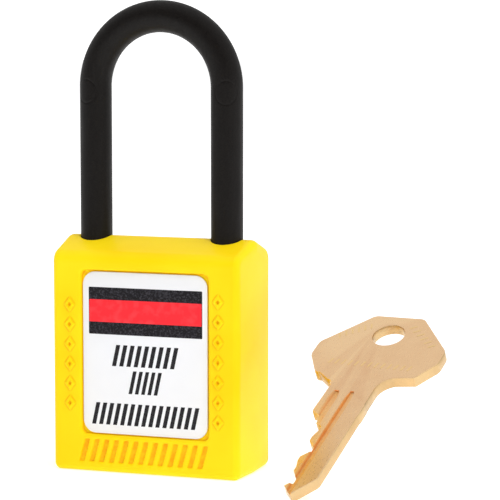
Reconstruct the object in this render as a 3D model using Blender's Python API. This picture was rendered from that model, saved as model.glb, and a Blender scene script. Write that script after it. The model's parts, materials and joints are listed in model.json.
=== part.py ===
"""Safety lockout padlock with a plastic body, a tall plastic shackle and its loose key.

Metres, +Z up along the shackle, -Y towards the front label. The lock stands on z = 0, and the
origin is on the floor at the middle of the footprint that the lock and its key take up together.
"""
import math

import bmesh
import bpy
from mathutils import Matrix, Vector

MM = 0.001

# Driving dimensions of the lock
BODY_WIDTH = 38.1 * MM               # across the ridges at the middle of the depth
BODY_DEPTH = 18.0 * MM
BODY_HEIGHT = 44.0 * MM              # to the ridge of the top
SHACKLE_DIAMETER = 6.0 * MM
SHACKLE_SPACING = 26.3 * MM          # between the two leg axes
SHACKLE_CLEARANCE = 38.0 * MM        # clear height of the loop above the body
SHACKLE_TRAVEL = 13.0 * MM           # lift that frees the toe
BOLT_STROKE = 1.6 * MM
KEY_THICKNESS = 2.1 * MM
PIN_COUNT = 6
PIN_PITCH = 2.85 * MM
GAP = 0.3 * MM                       # running clearance between neighbours

# Where the lock and the key stand
LOCK_PLACE = Vector((-16.8, 2.3, 0.0)) * MM
KEY_PLACE = LOCK_PLACE + Vector((40.2, 14.7, 25.1)) * MM
KEY_PITCH = math.radians(28.8)
KEY_YAW = math.radians(-9.1)

# Body shell: it tapers from the middle of its depth to the flat front and back faces
FACE_WIDTH = 37.0 * MM
FACE_TOP = 41.15 * MM
EDGE_RADIUS = 1.3 * MM
LABEL_RECESS = 0.9 * MM
RECESS_MARGIN = 0.35 * MM            # between the label and the recess wall
RECESS_CORNER = 1.3 * MM
LABEL_WIDTH = 24.8 * MM
LABEL_BOTTOM = 7.4 * MM
LABEL_TOP = 37.8 * MM
LABEL_THICKNESS = 0.3 * MM
LABEL_CORNER = 2.5 * MM
LABEL_GLUE = 0.1 * MM
BASE_PLATE_SIZE = (31.4 * MM, 12.8 * MM)
BASE_PLATE_THICKNESS = 1.5 * MM
BASE_PLATE_CORNER = 1.5 * MM
WEIGHT_POCKET = ((11.0 * MM, -5.6 * MM, 0.25 * MM), (15.3 * MM, 5.6 * MM, 27.0 * MM))

# Shackle
SHACKLE_RADIUS = SHACKLE_DIAMETER / 2
LEG_X = SHACKLE_SPACING / 2
BORE_RADIUS = SHACKLE_RADIUS + GAP
ARCH_Z = BODY_HEIGHT + SHACKLE_CLEARANCE - LEG_X + SHACKLE_RADIUS
TOE_END = 32.0 * MM
HEEL_END = 16.0 * MM
HEEL_NECK = (20.5 * MM, 26.5 * MM)
HEEL_NECK_RADIUS = 1.4 * MM
NECK_SLOPE = 0.4 * MM
LEG_CHAMFER = 0.8 * MM
NOTCH_HALF = 1.2 * MM                # half height of a bolt notch at its floor
NOTCH_DEPTH = 1.65 * MM
SPRING_RADIUS = 2.2 * MM
SPRING_WIRE = 0.4 * MM

# Lock mechanism, on the axis of the key cylinder
CYLINDER_X = -2.0 * MM
PLUG_RADIUS = 5.0 * MM
PLUG_FLANGE_RADIUS = 5.4 * MM
PLUG_BOTTOM = 0.3 * MM
HOUSING_RADIUS = 6.3 * MM
HOUSING_BOTTOM = BASE_PLATE_THICKNESS + 2 * GAP
HOUSING_TOP = 28.0 * MM
BIBLE_REACH = 10.7 * MM              # from the cylinder axis to the outer face of the pin bank
BIBLE_WIDTH = 4.6 * MM
PLUG_GROOVE = (28.3 * MM, 29.3 * MM)
PLUG_GROOVE_RADIUS = 3.4 * MM
PLUG_SHOULDER = (4.4 * MM, 30.3 * MM)
TANG_SIZE = (2.4 * MM, 5.0 * MM)
TANG_TOP = 37.6 * MM
KEYWAY_WIDTH = 2.7 * MM
KEYWAY_TOP = 26.0 * MM
BOLT_Z = 36.5 * MM
BOLT_RADIUS = 1.6 * MM
BOLT_NOSE = 0.9 * MM
CAM_SHORT = 3.2 * MM
CAM_LONG = CAM_SHORT + BOLT_STROKE
CAM_HEIGHT = 3.8 * MM
CAM_TO_BOLT = 0.35 * MM
CAM_ROOM = 0.4 * MM                  # round and above the cam
CROSS_PIN = (6.2 * MM, 26.0 * MM)    # x, z of the pin that holds the cylinder
CROSS_PIN_RADIUS = 0.75 * MM
CROSS_PIN_ENDS = (-6.0 * MM, 7.9 * MM)
PIN_RADIUS = 0.9 * MM
PIN_HOLE_RADIUS = 1.15 * MM
FIRST_PIN_Z = 7.2 * MM
PIN_TIP = 0.5 * MM
SHEAR_GAP = 0.25 * MM                # each side of the shear line
DRIVER_LENGTH = 2.75 * MM
PIN_SPRING_RADIUS = 0.72 * MM
PIN_SPRING_WIRE = 0.14 * MM
COVER_STRIP_THICKNESS = 0.4 * MM
KEY_PIN_LENGTHS = [length * MM for length in (3.0, 2.6, 4.0, 2.8, 3.1, 4.2)]

# Key, drawn flat with the ring hole at its origin and the blade running down
KEY_HOLE_RADIUS = 3.15 * MM
KEY_TOP = 5.85 * MM
KEY_TOP_HALF = 4.3 * MM
KEY_SIDE = 13.1 * MM
KEY_SIDE_TOP = -3.0 * MM
KEY_SIDE_BOTTOM = -6.8 * MM
KEY_SIDE_RADIUS = 2.6 * MM
KEY_TOP_RADIUS = 1.8 * MM
KEY_LOBE = (10.2 * MM, -12.2 * MM)
KEY_LOBE_RADIUS = 1.2 * MM
KEY_NECK_RADII = (1.6 * MM, 4.0 * MM)
KEY_NECK_TOP = -15.8 * MM
KEY_LEFT = -5.2 * MM
KEY_BACK = 3.9 * MM
KEY_SHOULDER = -24.3 * MM
KEY_TIP = -47.1 * MM
FIRST_CUT = -28.9 * MM
CUT_LAND = 0.55 * MM
CUT_EDGES = [v * MM for v in (-1.75, -2.2, -0.6, -2.0, -1.5, -0.3)]
KEY_GROOVE_DEPTH = 0.55 * MM


def clear_scene():
    for item in list(bpy.data.objects):
        bpy.data.objects.remove(item, do_unlink=True)


def make_material(name, colour, roughness, metallic=0.0):
    material = bpy.data.materials.new(name)
    material.use_nodes = True
    shader = material.node_tree.nodes["Principled BSDF"]
    shader.inputs["Base Color"].default_value = (*colour, 1.0)
    shader.inputs["Roughness"].default_value = roughness
    shader.inputs["Metallic"].default_value = metallic
    return material


def make_empty(name, location, rotation=(0.0, 0.0, 0.0), parent=None):
    empty = bpy.data.objects.new(name, None)
    empty.location = location
    empty.rotation_euler = rotation
    empty.parent = parent
    bpy.context.scene.collection.objects.link(empty)
    return empty


def add_object(name, bm, material, parent, location=(0.0, 0.0, 0.0), smooth=True):
    """Turn a bmesh into a scene object whose origin is at location under its parent."""
    bmesh.ops.recalc_face_normals(bm, faces=bm.faces)
    mesh = bpy.data.meshes.new(name)
    bm.to_mesh(mesh)
    bm.free()
    if smooth:
        mesh.shade_smooth()
        mesh.set_sharp_from_angle(angle=math.radians(35))
    obj = bpy.data.objects.new(name, mesh)
    obj.location = location
    obj.parent = parent
    if material:
        mesh.materials.append(material)
    bpy.context.scene.collection.objects.link(obj)
    return obj


def cut(target, name, bm, location=(0.0, 0.0, 0.0)):
    """Remove a cutter's volume from the target with an exact Boolean."""
    cutter = add_object(name, bm, None, target.parent, location, smooth=False)
    cutter.hide_render = True
    cutter.display_type = "WIRE"
    boolean = target.modifiers.new(name, "BOOLEAN")
    boolean.operation = "DIFFERENCE"
    boolean.solver = "EXACT"
    boolean.object = cutter


def arc(centre, radius, start, end, steps):
    """Points along an arc in a plane, angles in degrees."""
    angles = [math.radians(start + (end - start) * i / steps) for i in range(steps + 1)]
    return [(centre[0] + radius * math.cos(a), centre[1] + radius * math.sin(a)) for a in angles]


def rounded_rectangle(low, high, radius, steps=4):
    (x0, y0), (x1, y1) = low, high
    corners = [(x1 - radius, y0 + radius, -90), (x1 - radius, y1 - radius, 0),
               (x0 + radius, y1 - radius, 90), (x0 + radius, y0 + radius, 180)]
    outline = []
    for x, y, start in corners:
        outline += arc((x, y), radius, start, start + 90, steps)
    return outline


def prism(outline, low, high, axis="Z"):
    """Closed prism: the outline lies across the axis and is extruded from low to high."""
    place = {
        "X": lambda a, b, c: (c, a, b),
        "Y": lambda a, b, c: (a, c, b),
        "Z": lambda a, b, c: (a, b, c),
    }[axis]
    bm = bmesh.new()
    verts = [bm.verts.new(place(a, b, low)) for a, b in outline]
    face = bm.faces.new(verts)
    grown = bmesh.ops.extrude_face_region(bm, geom=[face])
    moved = [item for item in grown["geom"] if isinstance(item, bmesh.types.BMVert)]
    bmesh.ops.translate(bm, verts=moved, vec=Vector(place(0.0, 0.0, high - low)))
    return bm


def box(low, high):
    outline = [(low[0], low[1]), (high[0], low[1]), (high[0], high[1]), (low[0], high[1])]
    return prism(outline, low[2], high[2])


def rod(centre, radius, low, high, axis="Z", sides=24):
    """Round bar along an axis; centre gives the other two coordinates in order."""
    return prism(arc(centre, radius, 0, 360 * (1 - 1 / sides), sides - 1), low, high, axis)


def turned(profile, axis="Z", sides=24):
    """Solid of revolution from (radius, height) points, closed by end discs."""
    bm = bmesh.new()
    rings = []
    for radius, height in profile:
        ring = []
        for i in range(sides):
            a = 2 * math.pi * i / sides
            x, y = radius * math.cos(a), radius * math.sin(a)
            ring.append(bm.verts.new((height, x, y) if axis == "X" else (x, y, height)))
        rings.append(ring)
    join_rings(bm, rings)
    return bm


def join_rings(bm, rings):
    """Bridge neighbouring rings of vertices and cap the first and the last one."""
    count = len(rings[0])
    for lower, upper in zip(rings, rings[1:]):
        for i in range(count):
            j = (i + 1) % count
            bm.faces.new((lower[i], lower[j], upper[j], upper[i]))
    bm.faces.new(list(reversed(rings[0])))
    bm.faces.new(rings[-1])


def sweep(points, radii, sides):
    """Round tube along 3-D points, with a radius at each point."""
    bm = bmesh.new()
    rings = []
    side = Vector((0.0, 1.0, 0.0))
    for i, point in enumerate(points):
        before = points[max(i - 1, 0)]
        after = points[min(i + 1, len(points) - 1)]
        along = (after - before).normalized()
        across = along.cross(side).normalized()
        upward = across.cross(along)
        ring = []
        for k in range(sides):
            a = 2 * math.pi * k / sides
            offset = across * math.cos(a) + upward * math.sin(a)
            ring.append(bm.verts.new(point + offset * radii[i]))
        rings.append(ring)
    join_rings(bm, rings)
    return bm


def coil(mean_radius, wire_radius, low, high, turns, steps=12, sides=6, axis="Z"):
    """Closed-wire helix between two heights."""
    bm = bmesh.new()
    rings = []
    total = round(turns * steps)
    rise = (high - low - 2 * wire_radius) / total
    for i in range(total + 1):
        a = 2 * math.pi * i / steps
        outward = Vector((math.cos(a), math.sin(a), 0.0))
        centre = outward * mean_radius + Vector((0.0, 0.0, low + wire_radius + rise * i))
        ring = []
        for k in range(sides):
            b = 2 * math.pi * k / sides
            offset = outward * math.cos(b) + Vector((0.0, 0.0, math.sin(b)))
            ring.append(bm.verts.new(centre + offset * wire_radius))
        rings.append(ring)
    join_rings(bm, rings)
    if axis == "X":
        bmesh.ops.rotate(bm, verts=bm.verts, matrix=Matrix.Rotation(math.pi / 2, 3, "Y"))
    return bm


def body_blank():
    """Body before its cuts: widest and highest at the middle of its depth."""
    bm = bmesh.new()
    half = BODY_DEPTH / 2
    rings = []
    for y, width, top in ((-half, FACE_WIDTH, FACE_TOP), (0.0, BODY_WIDTH, BODY_HEIGHT),
                          (half, FACE_WIDTH, FACE_TOP)):
        corners = [(-width / 2, 0.0), (width / 2, 0.0), (width / 2, top), (-width / 2, top)]
        rings.append([bm.verts.new((x, y, z)) for x, z in corners])
    join_rings(bm, rings)
    return bm


def make_body_case(lock, plastic):
    case = add_object("body_case", body_blank(), plastic, lock)
    bevel = case.modifiers.new("rounded_edges", "BEVEL")
    bevel.width = EDGE_RADIUS
    bevel.segments = 3
    bevel.limit_method = "ANGLE"
    bevel.angle_limit = math.radians(40)

    half = BODY_DEPTH / 2
    floor = half - LABEL_RECESS
    recess_x = LABEL_WIDTH / 2 + RECESS_MARGIN
    recess = rounded_rectangle((-recess_x, LABEL_BOTTOM - RECESS_MARGIN),
                               (recess_x, LABEL_TOP + RECESS_MARGIN), RECESS_CORNER)
    cut(case, "front_recess_cutter", prism(recess, -half - MM, -floor, "Y"))
    cut(case, "back_recess_cutter", prism(recess, floor, half + MM, "Y"))

    plate_x, plate_y = (side / 2 + GAP for side in BASE_PLATE_SIZE)
    seat = rounded_rectangle((-plate_x, -plate_y), (plate_x, plate_y), BASE_PLATE_CORNER + GAP)
    cut(case, "base_seat_cutter", prism(seat, -MM, BASE_PLATE_THICKNESS + GAP))

    cylinder_low, bank_low, heel_low = 0.2 * MM, 0.1 * MM, 0.15 * MM
    pocket_top = HOUSING_TOP + 5 * MM
    cut(case, "cylinder_pocket_cutter",
        rod((CYLINDER_X, 0.0), HOUSING_RADIUS + GAP, cylinder_low, pocket_top, sides=32))
    bank_end = CYLINDER_X + BIBLE_REACH + 3 * GAP
    bank_half = BIBLE_WIDTH / 2 + GAP
    cut(case, "pin_bank_pocket_cutter",
        box((0.0, -bank_half, bank_low), (bank_end, bank_half, HOUSING_TOP + GAP)))
    cam_top = BOLT_Z + CAM_HEIGHT / 2 + CAM_ROOM
    cut(case, "cam_pocket_cutter",
        rod((CYLINDER_X, 0.0), CAM_LONG + CAM_ROOM, pocket_top - MM, cam_top, sides=32))
    cut(case, "bolt_bore_cutter",
        rod((0.0, BOLT_Z), BOLT_RADIUS + GAP, -LEG_X + MM, LEG_X - MM, "X"))
    cut(case, "heel_bore_cutter",
        rod((-LEG_X, 0.0), BORE_RADIUS, heel_low, BODY_HEIGHT + MM))
    cut(case, "toe_bore_cutter",
        rod((LEG_X, 0.0), BORE_RADIUS, TOE_END - 2 * GAP, BODY_HEIGHT + MM))
    cut(case, "weight_saving_cutter", box(*WEIGHT_POCKET))
    pin_low = CROSS_PIN_ENDS[0] - CAM_ROOM
    cut(case, "cross_pin_cutter",
        rod(CROSS_PIN, CROSS_PIN_RADIUS + GAP, pin_low, half, "Y", sides=16))


def make_base_plate(lock, plastic):
    x, y = (side / 2 for side in BASE_PLATE_SIZE)
    outline = rounded_rectangle((-x, -y), (x, y), BASE_PLATE_CORNER)
    plate = add_object("base_plate", prism(outline, 0.0, BASE_PLATE_THICKNESS), plastic, lock)
    cut(plate, "key_hole_cutter",
        rod((CYLINDER_X, 0.0), PLUG_FLANGE_RADIUS + GAP, -MM, BASE_PLATE_THICKNESS + MM, sides=32))


def make_labels(lock, film):
    outline = rounded_rectangle((-LABEL_WIDTH / 2, LABEL_BOTTOM), (LABEL_WIDTH / 2, LABEL_TOP),
                                LABEL_CORNER, steps=6)
    inner = BODY_DEPTH / 2 - LABEL_RECESS + LABEL_GLUE
    outer = inner + LABEL_THICKNESS
    add_object("front_label", prism(outline, -outer, -inner, "Y"), film, lock)
    add_object("back_label", prism(outline, inner, outer, "Y"), film, lock)


def make_shackle(lock, plastic):
    """Tall loop: long heel leg on the left, short toe leg on the right."""
    neck_low, neck_high = HEEL_NECK
    heel = [(SHACKLE_RADIUS - LEG_CHAMFER, HEEL_END), (SHACKLE_RADIUS, HEEL_END + LEG_CHAMFER),
            (SHACKLE_RADIUS, neck_low), (HEEL_NECK_RADIUS, neck_low + NECK_SLOPE),
            (HEEL_NECK_RADIUS, neck_high - NECK_SLOPE), (SHACKLE_RADIUS, neck_high)]
    toe = [(SHACKLE_RADIUS, TOE_END + LEG_CHAMFER), (SHACKLE_RADIUS - LEG_CHAMFER, TOE_END)]
    points = [Vector((-LEG_X, 0.0, z)) for radius, z in heel]
    radii = [radius for radius, z in heel]
    for x, z in arc((0.0, ARCH_Z), LEG_X, 180, 0, 24):
        points.append(Vector((x, 0.0, z)))
        radii.append(SHACKLE_RADIUS)
    points += [Vector((LEG_X, 0.0, z)) for radius, z in toe]
    radii += [radius for radius, z in toe]
    hinge = Vector((-LEG_X, 0.0, 0.0))
    bm = sweep([point - hinge for point in points], radii, 20)
    shackle = add_object("shackle", bm, plastic, lock, hinge)
    for side, name in ((-1, "heel_notch_cutter"), (1, "toe_notch_cutter")):
        inside = side * (LEG_X - SHACKLE_RADIUS)
        deep, wide = inside + side * NOTCH_DEPTH, inside - side * MM
        slope = abs(deep - wide)
        low, high = BOLT_Z - NOTCH_HALF, BOLT_Z + NOTCH_HALF
        notch = [(deep, low), (deep, high), (wide, high + slope), (wide, low - slope)]
        cut(shackle, name, prism(notch, -SHACKLE_RADIUS - MM, SHACKLE_RADIUS + MM, "Y"))


def make_shackle_spring(lock, steel):
    low = BASE_PLATE_THICKNESS + GAP
    bm = coil(SPRING_RADIUS, SPRING_WIRE, low, HEEL_END - GAP, turns=7)
    add_object("shackle_spring", bm, steel, lock, (-LEG_X, 0.0, 0.0))


def make_bolts(lock, steel):
    """Two round bolts with coned noses, drawn back against the cam."""
    tip = LEG_X - SHACKLE_RADIUS - GAP
    for side, name in ((-1, "locking_bolt_left"), (1, "locking_bolt_right")):
        inner = side * CYLINDER_X + CAM_SHORT + CAM_TO_BOLT
        profile = [(BOLT_RADIUS, inner), (BOLT_RADIUS, tip - BOLT_NOSE),
                   (BOLT_RADIUS - BOLT_NOSE, tip)]
        bm = turned([(radius, side * x) for radius, x in profile], "X", sides=20)
        add_object(name, bm, steel, lock, (0.0, 0.0, BOLT_Z))


def make_cam(axis, steel):
    """Oval cam on the plug's tang, with its short way towards the bolts."""
    steps = 40
    oval = []
    for i in range(steps):
        a = 2 * math.pi * i / steps
        oval.append((CAM_SHORT * math.cos(a), CAM_LONG * math.sin(a)))
    low = BOLT_Z - CAM_HEIGHT / 2
    cam = add_object("actuator_cam", prism(oval, low, low + CAM_HEIGHT), steel, axis)
    x, y = (side / 2 + GAP for side in TANG_SIZE)
    cut(cam, "tang_hole_cutter", box((-x, -y, low - MM), (x, y, low + CAM_HEIGHT + MM)))


def make_plug(axis, brass):
    """Turned plug with its keyway, six pin holes, clip groove and driving tang."""
    shoulder_radius, shoulder_top = PLUG_SHOULDER
    flange_top = HOUSING_BOTTOM - GAP
    profile = [(PLUG_FLANGE_RADIUS, PLUG_BOTTOM), (PLUG_FLANGE_RADIUS, flange_top),
               (PLUG_RADIUS, flange_top), (PLUG_RADIUS, PLUG_GROOVE[0]),
               (PLUG_GROOVE_RADIUS, PLUG_GROOVE[0]), (PLUG_GROOVE_RADIUS, PLUG_GROOVE[1]),
               (shoulder_radius, PLUG_GROOVE[1]), (shoulder_radius, shoulder_top)]
    plug = add_object("plug", turned(profile, sides=32), brass, axis)
    x, y = (side / 2 for side in TANG_SIZE)
    tang = add_object("tang_form", box((-x, -y, shoulder_top - 0.5 * MM), (x, y, TANG_TOP)),
                      None, axis, smooth=False)
    tang.hide_render = True
    tang.display_type = "WIRE"
    union = plug.modifiers.new("tang", "BOOLEAN")
    union.operation = "UNION"
    union.solver = "EXACT"
    union.object = tang
    half = KEYWAY_WIDTH / 2
    cut(plug, "keyway_cutter",
        box((-half, -PLUG_RADIUS - MM, -MM), (half, 4.3 * MM, KEYWAY_TOP)))
    for number in range(PIN_COUNT):
        cut(plug, f"plug_pin_hole_cutter_{number + 1}",
            rod((0.0, pin_height(number)), PIN_HOLE_RADIUS, 0.5 * MM, PLUG_RADIUS + MM, "Y", 12))


def pin_height(number):
    return FIRST_PIN_Z + number * PIN_PITCH


def make_housing(lock, brass):
    """Cylinder shell: a round barrel with the pin bank standing out to the right."""
    barrel = rod((0.0, 0.0), HOUSING_RADIUS, HOUSING_BOTTOM, HOUSING_TOP, sides=32)
    place = (CYLINDER_X, 0.0, 0.0)
    housing = add_object("cylinder_housing", barrel, brass, lock, place)
    bank = box((2.0 * MM, -BIBLE_WIDTH / 2, HOUSING_BOTTOM), (BIBLE_REACH, BIBLE_WIDTH / 2, HOUSING_TOP))
    bank_form = add_object("pin_bank_form", bank, None, lock, place, smooth=False)
    bank_form.hide_render = True
    bank_form.display_type = "WIRE"
    union = housing.modifiers.new("pin_bank", "BOOLEAN")
    union.operation = "UNION"
    union.solver = "EXACT"
    union.object = bank_form
    cut(housing, "barrel_bore_cutter",
        rod((0.0, 0.0), PLUG_RADIUS + GAP, 0.0, HOUSING_TOP + MM, sides=32), place)
    for number in range(PIN_COUNT):
        cut(housing, f"chamber_cutter_{number + 1}",
            rod((0.0, pin_height(number)), PIN_HOLE_RADIUS, PLUG_RADIUS - MM, BIBLE_REACH + MM,
                "X", 12), place)
    cut(housing, "housing_pin_hole_cutter",
        rod((CROSS_PIN[0] - CYLINDER_X, CROSS_PIN[1]), CROSS_PIN_RADIUS + GAP, -BIBLE_WIDTH,
            BIBLE_WIDTH, "Y", 16), place)


def make_pins(lock, axis, brass, steel):
    """Key pins in the plug, driver pins and their springs in the housing."""
    key_pin_end = PLUG_RADIUS - SHEAR_GAP
    driver_start = PLUG_RADIUS + SHEAR_GAP
    driver_end = driver_start + DRIVER_LENGTH
    for number in range(PIN_COUNT):
        length = KEY_PIN_LENGTHS[number]
        profile = [(PIN_RADIUS - PIN_TIP, -length), (PIN_RADIUS, PIN_TIP - length),
                   (PIN_RADIUS, 0.0)]
        key_pin = turned(profile, sides=12)
        bmesh.ops.rotate(key_pin, verts=key_pin.verts, matrix=Matrix.Rotation(-math.pi / 2, 3, "X"))
        add_object(f"key_pin_{number + 1}", key_pin, brass, axis,
                   (0.0, key_pin_end, pin_height(number)))
        driver = turned([(PIN_RADIUS, driver_start), (PIN_RADIUS, driver_end)], "X", sides=12)
        add_object(f"driver_pin_{number + 1}", driver, steel, lock,
                   (CYLINDER_X, 0.0, pin_height(number)))
        spring = coil(PIN_SPRING_RADIUS, PIN_SPRING_WIRE, driver_end + 0.1 * MM,
                      BIBLE_REACH - 0.1 * MM, turns=3.5, steps=10, sides=4, axis="X")
        add_object(f"pin_spring_{number + 1}", spring, steel, lock,
                   (CYLINDER_X, 0.0, pin_height(number)))


def make_cylinder_hardware(lock, axis, brass, steel):
    strip_x = CYLINDER_X + BIBLE_REACH + 0.15 * MM
    half = BIBLE_WIDTH / 2
    strip = box((strip_x, -half, FIRST_PIN_Z - PIN_PITCH),
                (strip_x + COVER_STRIP_THICKNESS, half, pin_height(PIN_COUNT)))
    add_object("pin_cover_strip", strip, brass, lock, smooth=False)

    inner, outer = PLUG_GROOVE_RADIUS + GAP, HOUSING_RADIUS - GAP
    ring = arc((0.0, 0.0), outer, -60, 240, 24) + arc((0.0, 0.0), inner, 240, -60, 24)
    low = PLUG_GROOVE[0] + 0.2 * MM
    add_object("plug_retaining_clip", prism(ring, low, low + 0.6 * MM), steel, axis)

    pin = rod(CROSS_PIN, CROSS_PIN_RADIUS, *CROSS_PIN_ENDS, "Y", sides=16)
    add_object("cylinder_retaining_pin", pin, steel, lock)


def key_outline():
    """Bow, neck and cut blade, counter-clockwise from the back of the blade's tip."""
    back, left = KEY_BACK, KEY_LEFT
    lobe_x, lobe_z = KEY_LOBE
    outline = [(0.7 * MM, KEY_TIP), (back, KEY_TIP + 4.6 * MM), (back, KEY_NECK_TOP - 5 * MM)]
    left_neck, right_neck = KEY_NECK_RADII
    side_x, side_z = KEY_SIDE - KEY_SIDE_RADIUS, KEY_SIDE_TOP - 1.4 * MM
    top_z = KEY_TOP - KEY_TOP_RADIUS
    outline += arc((back + right_neck, KEY_NECK_TOP - 0.6 * MM), right_neck, 180, 115, 4)
    outline += [(lobe_x, lobe_z)]
    outline += arc((side_x, KEY_SIDE_BOTTOM), KEY_SIDE_RADIUS, -40, 0, 3)
    outline += arc((side_x, side_z), KEY_SIDE_RADIUS, 0, 48, 3)
    outline += arc((KEY_TOP_HALF, top_z), KEY_TOP_RADIUS, 48, 90, 3)
    outline += arc((-KEY_TOP_HALF, top_z), KEY_TOP_RADIUS, 90, 132, 3)
    outline += arc((-side_x, side_z), KEY_SIDE_RADIUS, 132, 180, 3)
    outline += arc((-side_x, KEY_SIDE_BOTTOM), KEY_SIDE_RADIUS, 180, 220, 3)
    outline += arc((-lobe_x + 1.0 * MM, lobe_z + 0.6 * MM), KEY_LOBE_RADIUS, 215, 280, 3)
    outline += arc((left - left_neck, KEY_NECK_TOP - 0.4 * MM), left_neck, 80, 0, 3)
    outline += [(left - 0.2 * MM, KEY_SHOULDER + 0.6 * MM), (left, KEY_SHOULDER),
                (-3.7 * MM, KEY_SHOULDER - 0.3 * MM), (-3.4 * MM, FIRST_CUT + 2.0 * MM)]
    for number, edge in enumerate(CUT_EDGES):
        middle = FIRST_CUT - number * PIN_PITCH
        outline += [(edge, middle + CUT_LAND), (edge, middle - CUT_LAND)]
    outline += [(-1.5 * MM, KEY_TIP + 2.1 * MM)]
    return outline


def make_key(brass):
    frame = make_empty("key_frame", KEY_PLACE, (KEY_PITCH, 0.0, KEY_YAW))
    key = add_object("key", prism(key_outline(), -KEY_THICKNESS, 0.0), brass, frame)
    cut(key, "ring_hole_cutter",
        rod((0.0, 0.0), KEY_HOLE_RADIUS, -KEY_THICKNESS - MM, MM, sides=28))
    depth = KEY_GROOVE_DEPTH
    long_groove = [(-0.75 * MM, KEY_TIP - MM), (0.75 * MM, KEY_TIP - MM), (0.75 * MM, -21.0 * MM),
                   (0.1 * MM, -17.6 * MM), (-0.75 * MM, -21.0 * MM)]
    cut(key, "long_groove_cutter", prism(long_groove, -depth, MM))
    short_groove = [(-4.1 * MM, -25.4 * MM), (-2.2 * MM, -27.5 * MM), (-2.2 * MM, -21.0 * MM),
                    (-3.2 * MM, -17.8 * MM), (-4.1 * MM, -20.5 * MM)]
    cut(key, "short_groove_cutter", prism(short_groove, -depth, MM))


def main():
    clear_scene()
    yellow = make_material("body_yellow", (0.90, 0.66, 0.01), 0.42)
    black = make_material("shackle_black", (0.012, 0.011, 0.011), 0.55)
    film = make_material("label_film", (0.86, 0.87, 0.89), 0.30)
    brass = make_material("cylinder_brass", (0.72, 0.56, 0.27), 0.32, 1.0)
    steel = make_material("plated_steel", (0.60, 0.60, 0.58), 0.34, 1.0)
    key_metal = make_material("key_nickel_brass", (0.74, 0.55, 0.34), 0.38, 1.0)

    lock = make_empty("lock_frame", LOCK_PLACE)
    plug_axis = make_empty("plug_axis", (CYLINDER_X, 0.0, 0.0), parent=lock)
    make_body_case(lock, yellow)
    make_base_plate(lock, yellow)
    make_labels(lock, film)
    make_shackle(lock, black)
    make_shackle_spring(lock, steel)
    make_bolts(lock, steel)
    make_cam(plug_axis, steel)
    make_plug(plug_axis, brass)
    make_housing(lock, brass)
    make_pins(lock, plug_axis, brass, steel)
    make_cylinder_hardware(lock, plug_axis, brass, steel)
    make_key(key_metal)


main()
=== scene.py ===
"""Looks of the safety padlock and its loose key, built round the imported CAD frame.

Metres, +Z up, -Y towards the front label. Sizes in the lock's own frame are measured from the
middle of the body's footprint; sizes in the key's own frame are measured from its ring hole.
"""
import json
import math

import bmesh
import bpy
import numpy as np
from mathutils import Matrix, Vector


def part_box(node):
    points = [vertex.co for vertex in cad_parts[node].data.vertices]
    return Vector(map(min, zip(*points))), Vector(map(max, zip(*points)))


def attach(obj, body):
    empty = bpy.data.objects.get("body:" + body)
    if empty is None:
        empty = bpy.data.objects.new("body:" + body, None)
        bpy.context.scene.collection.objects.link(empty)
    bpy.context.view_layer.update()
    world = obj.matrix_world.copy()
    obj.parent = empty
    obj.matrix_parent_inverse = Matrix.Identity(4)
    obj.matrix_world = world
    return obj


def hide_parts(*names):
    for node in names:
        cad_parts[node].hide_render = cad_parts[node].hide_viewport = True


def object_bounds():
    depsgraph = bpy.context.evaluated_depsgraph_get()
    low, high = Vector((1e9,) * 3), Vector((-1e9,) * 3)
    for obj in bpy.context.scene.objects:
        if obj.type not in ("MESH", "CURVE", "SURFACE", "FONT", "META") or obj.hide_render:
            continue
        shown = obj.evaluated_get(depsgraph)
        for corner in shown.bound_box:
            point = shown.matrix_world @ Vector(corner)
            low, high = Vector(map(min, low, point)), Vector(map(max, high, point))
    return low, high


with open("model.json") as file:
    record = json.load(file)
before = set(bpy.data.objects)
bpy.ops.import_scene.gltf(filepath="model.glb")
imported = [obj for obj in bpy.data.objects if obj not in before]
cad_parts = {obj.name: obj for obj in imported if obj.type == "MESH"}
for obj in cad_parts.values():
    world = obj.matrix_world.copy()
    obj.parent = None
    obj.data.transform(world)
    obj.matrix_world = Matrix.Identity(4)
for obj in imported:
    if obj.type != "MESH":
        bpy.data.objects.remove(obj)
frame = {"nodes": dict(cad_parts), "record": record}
cad_low, cad_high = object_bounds()

MM = 0.001

# Lock body, from the frame
CASE_LOW, CASE_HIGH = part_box("body_case")
LOCK = Vector(((CASE_LOW.x + CASE_HIGH.x) / 2, (CASE_LOW.y + CASE_HIGH.y) / 2, 0.0))
HALF_WIDTH = (CASE_HIGH.x - CASE_LOW.x) / 2
HALF_DEPTH = (CASE_HIGH.y - CASE_LOW.y) / 2
HEIGHT = CASE_HIGH.z
FACE_HALF_WIDTH = 18.5 * MM         # the front and back faces; the body is wider in between
FACE_TOP = 41.15 * MM
RIDGE_RADIUS = 4.0 * MM
TOP_EDGE_RADIUS = 2.4 * MM
EDGE_RADIUS = 1.4 * MM
TAPER_START = 16.2 * MM             # across the body, beyond the marks
CAP_SHRINK = 0.96                   # of the ring that each flat end starts from
END_TOLERANCE = 0.1 * MM
SEAT_GAP = 0.15 * MM                # round the bottom cover
SEAT_CORNER = 1.6 * MM
POCKET_ROOM = 0.3 * MM              # round every piece inside the body
HEEL_BORE_BOTTOM = 0.8 * MM

# Bottom cover
COVER_CORNER = 1.5 * MM
COVER_EDGE = 0.3 * MM
PLUG_GAP = 0.2 * MM

# Label and its recess, from the frame
LABEL_LOW, LABEL_HIGH = (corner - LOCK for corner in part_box("front_label"))
LABEL_CORNER = 2.5 * MM
LABEL_EDGE = 0.08 * MM
RECESS_MARGIN = 0.35 * MM
RECESS_CORNER = 1.3 * MM
RECESS_DEPTH = 0.9 * MM
RECESS_WALL = 0.22 * MM
LIP_WIDTH = 0.5 * MM
LIP_DROP = 0.22 * MM

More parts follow.
